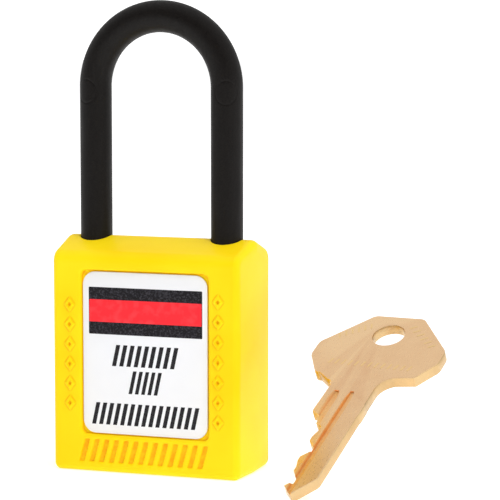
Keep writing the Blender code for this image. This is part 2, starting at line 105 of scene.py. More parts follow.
# Marks moulded in the front
RELIEF_HEIGHT = 0.42 * MM
RELIEF_EDGE = 0.22 * MM
LOZENGE_HALF = (1.0 * MM, 1.3 * MM)
LOZENGE_STROKE = 0.5 * MM
LEFT_MARKS = (-14.9 * MM, 31.5 * MM, 6)     # x, z of the highest, count
RIGHT_MARKS = (14.65 * MM, 33.1 * MM, 7)
MARK_PITCH = 3.72 * MM
SLOT_ZONE = ((-12.6 * MM, 1.9 * MM), (12.0 * MM, 6.3 * MM))
SLOT_COUNT = 13
SLOT_WIDTH = 1.0 * MM
SLOT_SLANT = 0.28
SLOT_CORNER = 0.3 * MM

# Printed label
HEADER = ((-11.2 * MM, 26.1 * MM), (11.4 * MM, 34.9 * MM))
HEADER_STRIPE = ((-11.1 * MM, 28.4 * MM), (11.3 * MM, 32.6 * MM))
HEADER_CORNER = 0.15 * MM
INK = 0.02 * MM
BAR_SLANT = 0.22
BAR_FILL = 0.56
BAR_ROWS = (
    ((-6.6 * MM, 20.2 * MM), (6.7 * MM, 24.2 * MM), 9),
    ((-3.3 * MM, 15.1 * MM), (3.4 * MM, 19.4 * MM), 5),
    ((-10.7 * MM, 9.1 * MM), (10.8 * MM, 13.2 * MM), 15),
)
WRITING_LINES = 4
WRITING_PITCH = 6.0 * MM
WRITING_HALF = 9.6 * MM
WRITING_STROKE = 0.25 * MM

# Shackle, from the frame
SHACKLE_LOW, SHACKLE_HIGH = (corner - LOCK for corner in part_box("shackle"))
SHACKLE_RADIUS = (SHACKLE_HIGH.y - SHACKLE_LOW.y) / 2
LEG_X = (SHACKLE_HIGH.x - SHACKLE_LOW.x) / 2 - SHACKLE_RADIUS
ARCH_Z = SHACKLE_HIGH.z - LEG_X - SHACKLE_RADIUS
HEEL_END = SHACKLE_LOW.z
TOE_END = 32.0 * MM
LEG_CHAMFER = 0.8 * MM
HEEL_NECK = (20.5 * MM, 26.5 * MM)  # lower and upper end
NECK_RADIUS = 1.4 * MM
NECK_SLOPE = 0.4 * MM
NOTCH_HALF = 1.2 * MM
NOTCH_DEPTH = 1.65 * MM
NOTCH_REACH = 4.0 * MM              # past the leg, to the front and the back
BORE_RADIUS = SHACKLE_RADIUS + 0.12 * MM
WITNESS_HEIGHT = 71.0 * MM
WITNESS_RADIUS = 2.15 * MM
WITNESS_SPAN = 1.25 * WITNESS_RADIUS
WITNESS_TURN = math.radians(-75)
WITNESS_GROOVE = 0.16 * MM
WITNESS_DEPTH = 0.07 * MM

# Key, in its own frame: x across, y towards the bow, z out of the front face
KEY_PLACE = LOCK + Vector((40.2, 14.7, 25.1)) * MM
KEY_PITCH = math.radians(28.8)
KEY_YAW = math.radians(-9.1)
KEY_THICKNESS = 2.1 * MM
KEY_HOLE_RADIUS = 3.15 * MM
KEY_BEVEL = 0.14 * MM
KEY_MARK_ROWS = (
    ((-9.8 * MM, -1.0 * MM), (-4.6 * MM, 2.4 * MM), 6),
    ((4.0 * MM, 2.9 * MM), (9.8 * MM, -2.4 * MM), 6),
    ((-8.2 * MM, -9.0 * MM), (8.2 * MM, -9.6 * MM), 13),
)
KEY_MARK_SIZE = (0.34 * MM, 1.5 * MM)
PIN_PITCH = 2.85 * MM
FIRST_CUT = -28.9 * MM
CUT_LAND = 0.55 * MM
CUT_EDGES = [v * MM for v in (-1.75, -2.2, -0.6, -2.0, -1.5, -0.3)]
BOW_SIDE_RADIUS = 2.6 * MM
BOW_TOP_RADIUS = 1.8 * MM
BOW_LOBE_RADIUS = 1.2 * MM
BACK_FILLET = 4.0 * MM              # between the bow and the uncut edge of the blade
CUT_FILLET = 1.6 * MM
GROOVE_DEPTH = 0.55 * MM
GROOVE_RISE = 0.5 * MM              # of the cutter above the face
GROOVE_FLARE = 1.5                  # width at the top of the cutter, of that at the face
GROOVE_FLOOR = 0.62                 # width at the floor, of that at the face
THINNEST_RUN_OUT = (0.08, 0.05)     # width and depth at the end, of the full ones
# Each groove: x, half width, where it begins, and where its run-out starts and ends
LONG_GROOVE = (0.0, 0.75 * MM, -48.5 * MM, -21.5 * MM, -17.0 * MM)
SHORT_GROOVE = (-3.15 * MM, 0.95 * MM, -28.5 * MM, -20.6 * MM, -17.2 * MM)

# Camera, from the middle of the body's footprint
AZIMUTH = math.radians(19.6)
ELEVATION = math.radians(6.0)
CAMERA_DISTANCE = 441.0 * MM
CAMERA_AIM = (16.64 * MM, 19.2 * MM)        # right and up from the middle of the body
LENS = 168.3

# Studio: a white tent that is dark on the side it is photographed from
TENT_BRIGHT = 0.8
TENT_DARK = 0.06
FLOOR_HALF = 3.0
DOME_RADIUS = 6.0


def srgb(red, green, blue):
    """Linear colour from 8-bit sRGB values."""
    linear = []
    for value in (red, green, blue):
        v = value / 255
        linear.append(v / 12.92 if v <= 0.04045 else ((v + 0.055) / 1.055) ** 2.4)
    return (*linear, 1.0)


# ---------------------------------------------------------------- meshes

def mesh_object(name, verts, faces, materials=()):
    mesh = bpy.data.meshes.new(name)
    mesh.from_pydata([tuple(v) for v in verts], [], [tuple(f) for f in faces])
    return link_mesh(name, mesh, materials)


def link_mesh(name, mesh, materials=()):
    for material in materials:
        mesh.materials.append(material)
    obj = bpy.data.objects.new(name, mesh)
    bpy.context.scene.collection.objects.link(obj)
    return obj


def tidy(obj, sharp_angle=40):
    """Merge doubled points, turn all faces outwards and set the shading."""
    bm = bmesh.new()
    bm.from_mesh(obj.data)
    bmesh.ops.remove_doubles(bm, verts=bm.verts, dist=1e-7)
    bmesh.ops.recalc_face_normals(bm, faces=bm.faces)
    bm.to_mesh(obj.data)
    bm.free()
    obj.data.shade_smooth()
    obj.data.set_sharp_from_angle(angle=math.radians(sharp_angle))
    return obj


def apply_modifiers(obj):
    evaluated = obj.evaluated_get(bpy.context.evaluated_depsgraph_get())
    mesh = bpy.data.meshes.new_from_object(evaluated)
    old = obj.data
    obj.modifiers.clear()
    obj.data = mesh
    bpy.data.meshes.remove(old)


def carve(obj, cutter):
    """Cut a closed mesh out of another and drop the cutter."""
    tidy(cutter)
    boolean = obj.modifiers.new("carve", "BOOLEAN")
    boolean.solver = "MANIFOLD"
    boolean.object = cutter
    bpy.context.view_layer.update()
    apply_modifiers(obj)
    bpy.data.objects.remove(cutter, do_unlink=True)


def loft(rings):
    """Vertices and faces of a skin over rings of equal length, with both end rings capped."""
    count = len(rings[0])
    verts = [point for ring in rings for point in ring]
    faces = []
    for k in range(len(rings) - 1):
        for i in range(count):
            j = (i + 1) % count
            faces.append((k * count + i, k * count + j, (k + 1) * count + j, (k + 1) * count + i))
    faces.append(tuple(reversed(range(count))))
    faces.append(tuple(range((len(rings) - 1) * count, len(rings) * count)))
    return verts, faces


def arc(centre, radius, start, end, steps):
    """Points along an arc in a plane, angles in degrees."""
    angles = np.radians(np.linspace(start, end, steps + 1))
    return [(centre[0] + radius * math.cos(a), centre[1] + radius * math.sin(a)) for a in angles]


def circle(centre, radius, sides):
    return arc(centre, radius, 0, 360 * (sides - 1) / sides, sides - 1)


def rounded_rectangle(low, high, radius, steps=10):
    (x0, z0), (x1, z1) = low, high
    corners = [(x1 - radius, z0 + radius, -90), (x1 - radius, z1 - radius, 0),
               (x0 + radius, z1 - radius, 90), (x0 + radius, z0 + radius, 180)]
    outline = []
    for x, z, start in corners:
        outline += arc((x, z), radius, start, start + 90, steps)
    return outline


def prism(name, outline, low, high, axis, materials=()):
    """Closed prism of an outline across an axis, from low to high along it."""
    point = {
        "X": lambda a, b, c: (c, a, b),
        "Y": lambda a, b, c: (a, c, b),
        "Z": lambda a, b, c: (a, b, c),
    }[axis]
    rings = [[point(a, b, level) for a, b in outline] for level in (low, high)]
    return mesh_object(name, *loft(rings), materials)


def turned(name, profile, centre, sides=96, materials=()):
    """Solid of revolution about an upright axis from (radius, height) points."""
    rings = []
    for radius, height in profile:
        ring = [(centre[0] + radius * math.cos(a), centre[1] + radius * math.sin(a), height)
                for a in np.linspace(0, 2 * math.pi, sides, endpoint=False)]
        rings.append(ring)
    return mesh_object(name, *loft(rings), materials)


def joined(name, parts, materials=()):
    """One mesh object out of several (verts, faces) shells."""
    verts, faces = [], []
    for part_verts, part_faces in parts:
        base = len(verts)
        verts += part_verts
        faces += [tuple(base + i for i in face) for face in part_faces]
    return mesh_object(name, verts, faces, materials)


def place(obj, body, slot, *nodes):
    """Put a piece made in the lock's frame in its place, tie it to its body and hide the CAD nodes
    it stands for. The slot is not used.
    """
    obj.location = LOCK
    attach(obj, body)
    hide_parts(*nodes)


# ---------------------------------------------------------------- materials

class Finish:
    """A node material with a Principled shader and short ways to add to it."""

    def __init__(self, name, colour, roughness, metallic=0.0, specular=0.5):
        self.material = bpy.data.materials.new(name)
        self.material.use_nodes = True
        tree = self.material.node_tree
        self.nodes, self.links = tree.nodes, tree.links
        self.shader = self.nodes["Principled BSDF"]
        self.set("Base Color", colour)
        self.set("Roughness", roughness)
        self.set("Metallic", metallic)
        self.set("Specular IOR Level", specular)
        self.coords = self.nodes.new("ShaderNodeTexCoord").outputs["Object"]

    def set(self, socket, value):
        self.shader.inputs[socket].default_value = value

    def noise(self, size, detail=3.0, stretch=(1.0, 1.0, 1.0)):
        """Noise with features of about the given size in metres, drawn out along each axis."""
        mapping = self.nodes.new("ShaderNodeMapping")
        mapping.inputs["Scale"].default_value = [1 / (size * s) for s in stretch]
        texture = self.nodes.new("ShaderNodeTexNoise")
        texture.inputs["Scale"].default_value = 1.0
        texture.inputs["Detail"].default_value = detail
        self.links.new(self.coords, mapping.inputs["Vector"])
        self.links.new(mapping.outputs["Vector"], texture.inputs["Vector"])
        return texture.outputs["Fac"]

    def remap(self, value, low, high, new_low, new_high):
        node = self.nodes.new("ShaderNodeMapRange")
        node.inputs["From Min"].default_value = low
        node.inputs["From Max"].default_value = high
        node.inputs["To Min"].default_value = new_low
        node.inputs["To Max"].default_value = new_high
        self.links.new(value, node.inputs["Value"])
        return node.outputs["Result"]

    def mix(self, factor, first, second):
        node = self.nodes.new("ShaderNodeMix")
        node.data_type = "RGBA"
        self.links.new(factor, node.inputs["Factor"])
        for socket, colour in ((node.inputs["A"], first), (node.inputs["B"], second)):
            if isinstance(colour, tuple):
                socket.default_value = colour
            else:
                self.links.new(colour, socket)
        return node.outputs["Result"]

    def edges(self, low=0.5, high=0.56):
        """Rises to 1 on raised edges of the mesh."""
        geometry = self.nodes.new("ShaderNodeNewGeometry")
        return self.remap(geometry.outputs["Pointiness"], low, high, 0.0, 1.0)

    def hollow_shade(self, low=0.46, high=0.496):
        """Rises to 1 in the inner corners of the mesh, where shade is painted."""
        geometry = self.nodes.new("ShaderNodeNewGeometry")
        return self.remap(geometry.outputs["Pointiness"], low, high, 1.0, 0.0)

    def colour(self, output):
        self.links.new(output, self.shader.inputs["Base Color"])

    def roughness(self, value, low, high):
        self.links.new(self.remap(value, 0.3, 0.7, low, high), self.shader.inputs["Roughness"])

    def bump(self, *layers):
        """Stack of (height, depth in metres) bumps."""
        normal = None
        for height, depth in layers:
            node = self.nodes.new("ShaderNodeBump")
            node.inputs["Strength"].default_value = 1.0
            node.inputs["Distance"].default_value = depth
            self.links.new(height, node.inputs["Height"])
            if normal:
                self.links.new(normal, node.inputs["Normal"])
            normal = node.outputs["Normal"]
        self.links.new(normal, self.shader.inputs["Normal"])


def yellow_plastic():
    finish = Finish("moulded_yellow", srgb(252, 217, 16), 0.42, specular=0.09)
    cloud = finish.noise(14 * MM, 2.0)
    grain = finish.noise(0.16 * MM, 2.0)
    waves = finish.noise(5 * MM, 1.0)
    tone = finish.mix(finish.remap(cloud, 0.35, 0.65, 0.0, 1.0),
                      srgb(251, 213, 12), srgb(254, 221, 22))
    # Inner corners get a deeper orange: painted shade, for the light the plastic bounces into its
    # hollows.
    finish.colour(finish.mix(finish.hollow_shade(), tone, srgb(252, 186, 14)))
    finish.roughness(grain, 0.36, 0.48)
    finish.bump((waves, 0.02 * MM), (grain, 0.003 * MM))
    return finish.material


# Painted shade: the deeper orange that light bouncing inside the slanted slots gives their floor.
def slot_shade():
    finish = Finish("slot_shade", srgb(250, 182, 20), 0.45, specular=0.09)
    cloud = finish.noise(1.2 * MM, 2.0)
    finish.colour(finish.mix(finish.remap(cloud, 0.35, 0.65, 0.0, 1.0),
                             srgb(249, 174, 16), srgb(252, 196, 24)))
    return finish.material


def black_nylon():
    finish = Finish("shackle_nylon", srgb(22, 18, 16), 0.5, specular=0.16)
    grain = finish.noise(0.22 * MM, 3.0)
    streaks = finish.noise(0.7 * MM, 2.0, (1.0, 1.0, 7.0))
    finish.colour(finish.mix(finish.remap(grain, 0.4, 0.62, 0.0, 1.0),
                             srgb(13, 10, 9), srgb(21, 18, 16)))
    finish.roughness(streaks, 0.42, 0.56)
    finish.bump((streaks, 0.008 * MM), (grain, 0.01 * MM))
    return finish.material


def label_film():
    finish = Finish("label_vinyl", srgb(246, 247, 250), 0.34)
    cloud = finish.noise(6 * MM, 2.0)
    finish.colour(finish.mix(cloud, srgb(232, 233, 237), srgb(238, 239, 242)))
    finish.roughness(finish.noise(0.5 * MM), 0.3, 0.4)
    finish.bump((cloud, 0.01 * MM))
    return finish.material


def ink(name, dark, light, speck):
    """Printing ink with specks of a second tone."""
    finish = Finish(name, dark, 0.4, specular=0.14)
    specks = finish.noise(speck, 2.0)
    finish.colour(finish.mix(finish.remap(specks, 0.45, 0.68, 0.0, 1.0), dark, light))
    finish.roughness(specks, 0.36, 0.5)
    return finish.material


def metal(name, dark, light, roughness, stretch, line=0.12 * MM):
    """Worked metal with fine tool lines drawn out along one axis, and edges painted brighter: partly
    worn metal, partly painted sheen.
    """
    finish = Finish(name, light, roughness, metallic=1.0)
    lines = finish.noise(line, 3.0, stretch)
    cloud = finish.noise(4 * MM, 3.0)
    tone = finish.mix(finish.remap(cloud, 0.3, 0.7, 0.0, 1.0), dark, light)
    # Raised edges lighter: worn metal and painted sheen together.
    finish.colour(finish.mix(finish.edges(), tone, tuple(min(1.0, c * 1.12) for c in light)))
    finish.roughness(lines, roughness - 0.05, roughness + 0.07)
    finish.bump((lines, 0.002 * MM))
    return finish.material


def make_finishes():
    return {
        "body_yellow": yellow_plastic(),
        "slot_shade": slot_shade(),
        "shackle_black": black_nylon(),
        "label_film": label_film(),
        "cylinder_brass": metal("machined_brass", srgb(206, 168, 96), srgb(222, 188, 118), 0.3,
                                (5.0, 5.0, 0.8)),
        "plated_steel": metal("zinc_steel", srgb(170, 172, 172), srgb(196, 197, 196), 0.33,
                              (1.0, 1.0, 3.0)),
        "key_metal": metal("key_face_metal", srgb(240, 194, 148), srgb(248, 206, 160), 0.3,
                           (1.0, 9.0, 1.0)),
        "key_groove": metal("key_milled_metal", srgb(250, 186, 122), srgb(254, 206, 146), 0.3,
                            (1.0, 12.0, 1.0), 0.08 * MM),
        # Darker copy of the key's metal for its walls: painted shade.
        "key_edge": metal("key_edge_shaded_metal", srgb(172, 136, 92), srgb(200, 170, 124), 0.32,
                          (1.0, 1.0, 6.0)),
        "ink_black": ink("ink_black", srgb(20, 18, 22), srgb(58, 56, 62), 0.3 * MM),
        "ink_solid": ink("ink_solid", srgb(33, 31, 34), srgb(46, 44, 48), 0.4 * MM),
        "ink_red": ink("ink_red", srgb(248, 44, 54), srgb(253, 60, 68), 1.5 * MM),
    }


# ---------------------------------------------------------------- body shell

def box_distance(x, z, centre, half, corner=0.0):
    """Signed distance to a rounded rectangle, negative inside."""
    dx = np.abs(x - centre[0]) - half[0] + corner
    dz = np.abs(z - centre[1]) - half[1] + corner
    outside = np.hypot(np.maximum(dx, 0), np.maximum(dz, 0))
    return outside + np.minimum(np.maximum(dx, dz), 0) - corner


def smooth_step(value, low, high):
    t = np.clip((value - low) / (high - low), 0, 1)
    return t * t * (3 - 2 * t)


def recess_relief(x, z):
    """Drop of the surface round and inside the label recess."""
    low = (LABEL_LOW.x - RECESS_MARGIN, LABEL_LOW.z - RECESS_MARGIN)
    high = (LABEL_HIGH.x + RECESS_MARGIN, LABEL_HIGH.z + RECESS_MARGIN)
    centre = ((low[0] + high[0]) / 2, (low[1] + high[1]) / 2)
    half = ((high[0] - low[0]) / 2, (high[1] - low[1]) / 2)
    distance = box_distance(x, z, centre, half, RECESS_CORNER)
    lip = np.clip(1 - distance / LIP_WIDTH, 0, 1) ** 2 * LIP_DROP
    wall = smooth_step(-distance, -RECESS_WALL / 2, RECESS_WALL)
    return -(lip * (1 - wall) + RECESS_DEPTH * wall)


def raised(distance):
    return RELIEF_HEIGHT * smooth_step(-distance, -RELIEF_EDGE / 2, RELIEF_EDGE / 2)


def front_relief(x, z):
    """Recess, hollow lozenges down both sides and slanted slots under the label."""
    height = recess_relief(x, z)
    for mark_x, top_z, count in (LEFT_MARKS, RIGHT_MARKS):
        for number in range(count):
            across = np.abs(x - mark_x) / LOZENGE_HALF[0]
            along = np.abs(z - top_z + number * MARK_PITCH) / LOZENGE_HALF[1]
            size = LOZENGE_HALF[0] * LOZENGE_HALF[1] / math.hypot(*LOZENGE_HALF)
            outline = (across + along - 1) * size
            stroke = np.abs(outline + LOZENGE_STROKE / 2) - LOZENGE_STROKE / 2
            height += raised(stroke)
    (x0, z0), (x1, z1) = SLOT_ZONE
    middle_z = (z0 + z1) / 2
    pitch = (x1 - x0 - SLOT_WIDTH) / (SLOT_COUNT - 1)
    for number in range(SLOT_COUNT):
        sheared = x - (z - middle_z) * SLOT_SLANT
        centre = (x0 + SLOT_WIDTH / 2 + number * pitch, middle_z)
        half = (SLOT_WIDTH / 2, (z1 - z0) / 2)
        height -= raised(box_distance(sheared, z, centre, half, SLOT_CORNER))
    return height


def graded(stops, steps):
    """Values from the first stop to the last, each stretch in steps of about its own size."""
    values = []
    for low, high, step in zip(stops, stops[1:], steps):
        count = max(1, round((high - low) / step))
        values += list(np.linspace(low, high, count, endpoint=False))
    return np.array(values + [stops[-1]])


def body_outline():
    """Side outline of the body: (y, z), outward normal, and which flat face a point is on."""
    shoulder = HALF_DEPTH - TOP_EDGE_RADIUS
    slope = math.atan((HEIGHT - FACE_TOP) / HALF_DEPTH)
    edge_z = FACE_TOP - TOP_EDGE_RADIUS * (1 - math.sin(slope)) / math.cos(slope)
    ridge_z = HEIGHT - RIDGE_RADIUS / math.cos(slope)
    lean = math.degrees(slope)
    foot = HALF_DEPTH - EDGE_RADIUS
    wall_low = LABEL_LOW.z - RECESS_MARGIN
    wall_high = LABEL_HIGH.z + RECESS_MARGIN
    stops = [EDGE_RADIUS, wall_low - LIP_WIDTH, wall_low + 2 * RECESS_WALL,
             wall_high - 2 * RECESS_WALL, wall_high + LIP_WIDTH, edge_z]
    front = graded(stops, [0.16 * MM, 0.08 * MM, 0.17 * MM, 0.08 * MM, 0.4 * MM])
    back = graded(stops, [0.6 * MM, 0.08 * MM, 0.6 * MM, 0.08 * MM, 0.4 * MM])

    points, normals, sides = [], [], []

    def add_arc(centre, radius, start, end, steps):
        for a in np.radians(np.linspace(start, end, steps + 1)):
            points.append((centre[0] + radius * math.cos(a), centre[1] + radius * math.sin(a)))
            normals.append((math.cos(a), math.sin(a)))
            sides.append(0)

    def add_face(side, heights):
        for z in heights:
            points.append((side * HALF_DEPTH, z))
            normals.append((side, 0.0))
            sides.append(side)

    add_arc((-foot, EDGE_RADIUS), EDGE_RADIUS, 270, 180, 9)
    add_face(-1, front[1:-1])
    add_arc((-shoulder, edge_z), TOP_EDGE_RADIUS, 180, 90 + lean, 12)
    add_arc((0.0, ridge_z), RIDGE_RADIUS, 90 + lean, 90 - lean, 12)
    add_arc((shoulder, edge_z), TOP_EDGE_RADIUS, 90 - lean, 0, 12)
    add_face(1, back[-2:0:-1])
    add_arc((foot, EDGE_RADIUS), EDGE_RADIUS, 0, -90, 9)
    points.append((0.0, 0.0))
    normals.append((0.0, -1.0))
    sides.append(0)
    return np.array(points), np.array(normals), np.array(sides)


def body_columns():
    """Places across the body, finer over the recess wall, the marks and the slots."""
    wall_out = LABEL_HIGH.x + RECESS_MARGIN + LIP_WIDTH
    wall_in = LABEL_HIGH.x + RECESS_MARGIN - 2 * RECESS_WALL
    end = HALF_WIDTH - EDGE_RADIUS
    stops = [-end, -TAPER_START, -wall_out, -wall_in, wall_in, wall_out, TAPER_START, end]
    return graded(stops, [step * MM for step in (0.4, 0.15, 0.08, 0.17, 0.08, 0.15, 0.4)])


def tapered(x, y):
    """Place across the body after its taper from the middle of the depth to both faces."""
    beyond = abs(x) - TAPER_START
    if beyond <= 0:
        return x
    half = HALF_WIDTH - (HALF_WIDTH - FACE_HALF_WIDTH) * abs(y) / HALF_DEPTH
    stretch = (half - TAPER_START) / (HALF_WIDTH - TAPER_START)
    return math.copysign(TAPER_START + beyond * stretch, x)


def body_shell():
    """Body skin lofted across its width; each end is closed by two flat halves."""
    points, normals, sides = body_outline()
    rings = []

    def add_ring(x, yz):
        rings.append([(tapered(x, y), y, z) for y, z in yz])

    def cap_ring(side):
        middle = np.array([0.0, HEIGHT / 2])
        inner = points - normals * EDGE_RADIUS
        add_ring(side * HALF_WIDTH, middle + (inner - middle) * CAP_SHRINK)

    def end_rings(side, turns):
        for turn in turns:
            inset = EDGE_RADIUS * (1 - math.cos(turn))
            x = side * (HALF_WIDTH - EDGE_RADIUS + EDGE_RADIUS * math.sin(turn))
            add_ring(x, points - normals * inset)

    turns = np.radians(np.linspace(90, 0, 10))
    cap_ring(-1)
    end_rings(-1, turns[:-1])
    for x in body_columns():
        relief = np.zeros(len(points))
        front, back = sides == -1, sides == 1
        relief[front] = front_relief(x, points[front, 1])
        relief[back] = recess_relief(x, points[back, 1])
        add_ring(x, points + normals * relief[:, None])
    end_rings(1, turns[::-1][1:])
    cap_ring(1)
    verts, faces = loft(rings)
    last = len(points) - 1
    ridge = int(points[:, 1].argmax())
    halves = [(*range(ridge + 1), last), tuple(range(ridge, last + 1))]
    far = (len(rings) - 1) * len(points)
    caps = [tuple(reversed(half)) for half in halves]
    caps += [tuple(far + i for i in half) for half in halves]
    return verts, faces[:-2] + caps


def crease_ends(shell):
    """Keep the ridge down the middle of each end crisp."""
    verts = shell.data.vertices
    for edge in shell.data.edges:
        first, second = (verts[i].co for i in edge.vertices)
        on_end = abs(first.x) > HALF_WIDTH - END_TOLERANCE
        if on_end and (second - first).length > HEIGHT / 2:
            edge.use_edge_sharp = True


def make_body(finishes):
    shell = tidy(mesh_object("body_shell", *body_shell(), [finishes["body_yellow"]]), 50)

    plate_low, plate_high = (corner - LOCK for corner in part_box("base_plate"))
    seat = rounded_rectangle((plate_low.x - SEAT_GAP, plate_low.y - SEAT_GAP),
                             (plate_high.x + SEAT_GAP, plate_high.y + SEAT_GAP), SEAT_CORNER)
    carve(shell, prism("base_seat", seat, -MM, plate_high.z + SEAT_GAP, "Z"))

    housing_low, housing_high = (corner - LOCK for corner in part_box("cylinder_housing"))
    strip_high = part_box("pin_cover_strip")[1] - LOCK
    room = POCKET_ROOM
    lower = rounded_rectangle((housing_low.x - room, housing_low.y - room),
                              (strip_high.x + room, housing_high.y + room), MM, 4)
    carve(shell, prism("cylinder_pocket", lower, MM, housing_high.z + room, "Z"))

    cam_low, cam_high = (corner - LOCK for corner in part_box("actuator_cam"))
    cam_middle = (cam_low + cam_high) / 2
    cam_reach = (cam_high.y - cam_low.y) / 2 + room
    cam_profile = [(cam_reach, housing_high.z - MM), (cam_reach, cam_high.z + room)]
    carve(shell, turned("cam_pocket", cam_profile, cam_middle, 48))

    bolt_low, bolt_high = (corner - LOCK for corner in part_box("locking_bolt_right"))
    bolt_radius = (bolt_high.z - bolt_low.z) / 2 + room
    bolt_z = (bolt_high.z + bolt_low.z) / 2
    bore = circle((0.0, bolt_z), bolt_radius, 36)
    carve(shell, prism("bolt_bore", bore, -LEG_X, LEG_X, "X"))

    for side, bottom in ((-1, HEEL_BORE_BOTTOM), (1, TOE_END - room)):
        profile = [(BORE_RADIUS, bottom), (BORE_RADIUS, HEIGHT + MM)]
        carve(shell, turned("leg_bore", profile, (side * LEG_X, 0.0)))
    tidy(shell, 50)
    crease_ends(shell)
    place(shell, "lock_body", "body_yellow", "body_case")


def make_slot_shades(finishes):
    """Painted shade: thin orange sheets on the floor of each slanted slot, for the deeper tone that
    light bouncing between the slot walls gives it.
    """
    (x0, z0), (x1, z1) = SLOT_ZONE
    lean = SLOT_SLANT * (z1 - z0) / 2
    floor = -HALF_DEPTH + RELIEF_HEIGHT
    inset = RELIEF_EDGE / 2
    parts = []
    for low in np.linspace(x0, x1 - SLOT_WIDTH, SLOT_COUNT):
        left, right = low + inset, low + SLOT_WIDTH - inset
        outline = [(left - lean, z0 + inset), (right - lean, z0 + inset),
                   (right + lean, z1 - inset), (left + lean, z1 - inset)]
        parts.append(loft([[(x, y, z) for x, z in outline] for y in (floor + INK, floor - INK)]))
    shade_sheets = tidy(joined("slot_shades", parts, [finishes["slot_shade"]]))
    place(shade_sheets, "lock_body", "body_yellow")


def make_base_cover(finishes):
    """Bottom cover with a softened outline and a chamfered hole for the plug."""
    low, high = (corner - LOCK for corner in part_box("base_plate"))
    plug_low, plug_high = (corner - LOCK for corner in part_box("plug"))
    edge = COVER_EDGE
    rings = []
    for inset, z in ((edge, 0.0), (edge * 0.3, edge * 0.3), (0.0, edge), (0.0, high.z)):
        outline = rounded_rectangle((low.x + inset, low.y + inset),
                                    (high.x - inset, high.y - inset), COVER_CORNER - inset)
        rings.append([(x, y, z) for x, y in outline])
    cover = tidy(mesh_object("bottom_cover", *loft(rings), [finishes["body_yellow"]]))
    radius = (plug_high.x - plug_low.x) / 2 + PLUG_GAP
    profile = [(radius + edge, -MM), (radius + edge, 0.0), (radius, edge), (radius, high.z + MM)]
    carve(cover, turned("plug_hole", profile, ((plug_low.x + plug_high.x) / 2, 0.0)))
    tidy(cover)
    place(cover, "lock_body", "body_yellow", "base_plate")


# ---------------------------------------------------------------- labels

def film_rings(side):
    """Rings of the film from its glued face out to its softened front edge."""
    inner, outer = -LABEL_HIGH.y * side, -LABEL_LOW.y * side
    rings = []
    for inset, y in ((0.0, inner), (0.0, outer - side * LABEL_EDGE),
                     (0.3 * LABEL_EDGE, outer - 0.3 * side * LABEL_EDGE), (LABEL_EDGE, outer)):
        outline = rounded_rectangle((LABEL_LOW.x + inset, LABEL_LOW.z + inset),
                                    (LABEL_HIGH.x - inset, LABEL_HIGH.z - inset),
                                    LABEL_CORNER - inset)
        rings.append([(x, y, z) for x, z in outline])
    return rings


def print_layer(name, outlines, level, material, side=-1):
    """Ink laid on the film: every outline is a thin slab, and higher levels lie on lower ones."""
    surface = -LABEL_LOW.y * side
    parts = []
    for outline in outlines:
        rings = [[(x, surface + side * height, z) for x, z in outline]
                 for height in (-INK, level * INK)]
        parts.append(loft(rings))
    obj = tidy(joined(name, parts, [material]))
    place(obj, "lock_body", "label_film")


def slanted_bars(low, high, count):
    (x0, z0), (x1, z1) = low, high
    lean = BAR_SLANT * (z1 - z0)
    pitch = (x1 - x0 - lean) / (count - 1 + BAR_FILL)
    width = pitch * BAR_FILL
    bars = []
    for number in range(count):
        x = x0 + number * pitch
        bars.append([(x, z0), (x + width, z0), (x + width + lean, z1), (x + lean, z1)])
    return bars


def make_labels(finishes):
    for side, name, node in ((-1, "front_film", "front_label"), (1, "back_film", "back_label")):
        film = tidy(mesh_object(name, *loft(film_rings(side)), [finishes["label_film"]]))
        place(film, "lock_body", "label_film", node)
    header = rounded_rectangle(*HEADER, HEADER_CORNER, 3)
    stripe = rounded_rectangle(*HEADER_STRIPE, HEADER_CORNER, 3)
    print_layer("header_band", [header], 1, finishes["ink_black"])
    print_layer("header_stripe", [stripe], 2, finishes["ink_red"])
    rows = [bar for row in BAR_ROWS for bar in slanted_bars(*row)]
    print_layer("label_bars", rows, 1, finishes["ink_solid"])
    lines = []
    for number in range(1, WRITING_LINES + 1):
        low = LABEL_LOW.z + WRITING_PITCH * number
        high = low + WRITING_STROKE
        lines.append([(-WRITING_HALF, low), (WRITING_HALF, low),
                      (WRITING_HALF, high), (-WRITING_HALF, high)])
    print_layer("back_writing_lines", lines, 1, finishes["ink_solid"], side=1)


# ---------------------------------------------------------------- shackle

def shackle_steps(length):
    """Distances along the shackle: fine at the neck, the arch and the witness rings."""
    heel_leg = ARCH_Z - HEEL_END
    arch = math.pi * LEG_X
    span = WITNESS_SPAN
    heel_witness = WITNESS_HEIGHT - HEEL_END
    toe_witness = length - (WITNESS_HEIGHT - TOE_END)
    neck_low, neck_high = (z - HEEL_END for z in HEEL_NECK)
    stops = [LEG_CHAMFER, neck_low, neck_low + NECK_SLOPE, neck_high - NECK_SLOPE, neck_high,
             heel_witness - span, heel_witness + span, heel_leg + arch / 2,
             toe_witness - span, toe_witness + span, length - LEG_CHAMFER]
    coarse, middling, fine = 2.5 * MM, 0.45 * MM, 0.14 * MM
    inner = graded(stops, [coarse, NECK_SLOPE, coarse, NECK_SLOPE, coarse, fine, middling, middling,
                           fine, coarse])
    return [0.0, *inner, length]


def shackle_radius(distance, length):
    """Radius of the bar, with chamfered ends and a neck in the heel leg."""
    neck_low, neck_high = (z - HEEL_END for z in HEEL_NECK)
    stops = [0.0, LEG_CHAMFER, neck_low, neck_low + NECK_SLOPE, neck_high - NECK_SLOPE, neck_high,
             length - LEG_CHAMFER, length]
    full, end = SHACKLE_RADIUS, SHACKLE_RADIUS - LEG_CHAMFER
    return np.interp(distance, stops,
                     [end, full, full, NECK_RADIUS, NECK_RADIUS, full, full, end])


